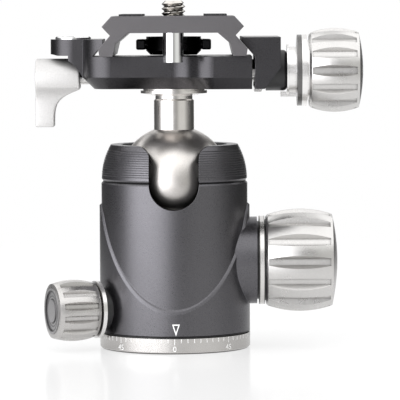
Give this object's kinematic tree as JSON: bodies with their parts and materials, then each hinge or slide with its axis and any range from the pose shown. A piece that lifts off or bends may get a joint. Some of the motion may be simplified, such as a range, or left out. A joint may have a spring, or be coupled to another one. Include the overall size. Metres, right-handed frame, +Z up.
{
  "type": "tripod ball head",
  "caption": "Tripod ball head: panning base, drop notch, fluted lock knobs, dovetail clamp with level and lock lever, quick release plate with camera screw.",
  "frame": {"origin": "centre of the base's underside, at the mouth of the tripod thread", "axes": "+Z up along the pan axis, -Y through the drop notch, +X along the main lock knob"},
  "size_m": [0.087, 0.05, 0.0923],
  "materials": {
    "dark_anodised": "matte",
    "plate_anodised": "satin",
    "silver_anodised": "satin",
    "ball_metal": "satin",
    "turned_steel": "satin",
    "chrome": "polished",
    "black_steel": "satin",
    "brass": "satin",
    "black_nylon": "matte",
    "white_nylon": "matte",
    "black_rubber": "matte",
    "cap_grey": "satin",
    "level_clear": "gloss"
  },
  "bodies": {
    "base": {"base_ring": "silver_anodised", "pan_spindle": "turned_steel", "pan_bearing": "black_nylon", "pan_clip": "black_steel"},
    "housing": {"housing": "dark_anodised", "bearing_carrier": "brass", "wedge_floor": "turned_steel", "upper_ball_seat": "black_nylon", "lower_cup": "silver_anodised", "lock_seal_ring": "black_nylon", "lock_washer": "silver_anodised", "pan_bush": "black_nylon", "pan_collar": "silver_anodised"},
    "lock_wedge": {"lock_wedge": "brass"},
    "lock_knob": {"lock_knob": "silver_anodised", "lock_screw": "turned_steel", "lock_slip_ring": "black_nylon"},
    "pan_brake": {"pan_brake_shoe": "brass"},
    "pan_knob": {"pan_knob": "silver_anodised", "pan_lock_screw": "turned_steel", "pan_knob_cap": "cap_grey"},
    "cup_liner": {"cup_liner": "white_nylon"},
    "ball": {"ball": "ball_metal", "neck_sleeve": "turned_steel", "stem_flange": "turned_steel", "stem_thrust_washer": "black_nylon", "stem_washer": "turned_steel", "stem_bolt": "black_steel"},
    "clamp": {"clamp_body": "dark_anodised", "level_cup": "silver_anodised", "level_glass": "level_clear", "jaw_springs": "turned_steel"},
    "pan_lever": {"pan_lever": "silver_anodised", "lever_screw": "turned_steel"},
    "stem_brake": {"stem_brake_pin": "brass"},
    "jaw": {"moving_jaw": "dark_anodised", "guide_pins": "turned_steel", "jaw_keeper": "turned_steel", "clamp_sleeve": "black_nylon", "clamp_collar": "silver_anodised"},
    "clamp_knob": {"clamp_knob": "silver_anodised", "clamp_screw": "turned_steel", "clamp_slip_ring": "black_nylon", "clamp_knob_ring": "silver_anodised", "clamp_spacer": "black_nylon"},
    "plate": {"plate": "plate_anodised", "plate_pads": "black_rubber", "stop_pins": "chrome"},
    "camera_screw": {"camera_screw": "black_steel"},
    "d_ring": {"d_ring": "black_steel"}
  },
  "joints": [
    {"name": "pan_rotation", "type": "hinge", "parent": "base", "child": "housing", "pos_m": [0, 0, 0], "axis": [0, 0, 1], "continuous": true},
    {"name": "lock_knob_turn", "type": "hinge", "parent": "housing", "child": "lock_knob", "pos_m": [0, 0, 0.0231], "axis": [1, 0, 0], "range_deg": [0, 180]},
    {"name": "wedge_slide", "type": "slide", "parent": "housing", "child": "lock_wedge", "axis": [1, 0, 0], "range_m": [0, 0.0005]},
    {"name": "pan_knob_turn", "type": "hinge", "parent": "pan_brake", "child": "pan_knob", "pos_m": [0, 0, 0.0108], "axis": [-0.9367, -0.3502, 0], "range_deg": [0, 270]},
    {"name": "pan_brake_slide", "type": "slide", "parent": "housing", "child": "pan_brake", "axis": [-0.9367, -0.3502, 0], "range_m": [0, 0.0006]},
    {"name": "ball_lean", "type": "hinge", "parent": "housing", "child": "cup_liner", "pos_m": [0, 0, 0.0441], "axis": [0, 1, 0], "range_deg": [-25, 25]},
    {"name": "ball_drop", "type": "hinge", "parent": "cup_liner", "child": "ball", "pos_m": [0, 0, 0.0441], "axis": [1, 0, 0], "range_deg": [-25, 90]},
    {"name": "clamp_pan", "type": "hinge", "parent": "ball", "child": "clamp", "pos_m": [0, 0, 0.0691], "axis": [0, 0, 1], "continuous": true},
    {"name": "pan_lever_turn", "type": "hinge", "parent": "stem_brake", "child": "pan_lever", "pos_m": [0, 0, 0.0717], "axis": [-1, 0, 0], "range_deg": [0, 45]},
    {"name": "stem_brake_slide", "type": "slide", "parent": "clamp", "child": "stem_brake", "axis": [-1, 0, 0], "range_m": [0, 0.000125]},
    {"name": "clamp_knob_turn", "type": "hinge", "parent": "jaw", "child": "clamp_knob", "pos_m": [0, 0, 0.0737], "axis": [1, 0, 0], "range_deg": [0, 1080]},
    {"name": "jaw_slide", "type": "slide", "parent": "clamp", "child": "jaw", "axis": [1, 0, 0], "range_m": [0, 0.003]},
    {"name": "plate_slide", "type": "slide", "parent": "clamp", "child": "plate", "axis": [0, 1, 0], "range_m": [-0.0058, 0.0058]},
    {"name": "camera_screw_turn", "type": "hinge", "parent": "plate", "child": "camera_screw", "pos_m": [0, 0, 0.083], "axis": [0, 0, 1], "continuous": true},
    {"name": "d_ring_fold", "type": "hinge", "parent": "camera_screw", "child": "d_ring", "pos_m": [0, 0, 0.0807], "axis": [1, 0, 0], "range_deg": [-5, 7]}
  ],
  "couplings": [
    {"joint": "lock_knob_turn", "follows": "wedge_slide", "rad_per_m": 6283.2},
    {"joint": "pan_knob_turn", "follows": "pan_brake_slide", "rad_per_m": 7854},
    {"joint": "pan_lever_turn", "follows": "stem_brake_slide", "rad_per_m": 6283.2},
    {"joint": "clamp_knob_turn", "follows": "jaw_slide", "rad_per_m": 6283.2}
  ]
}
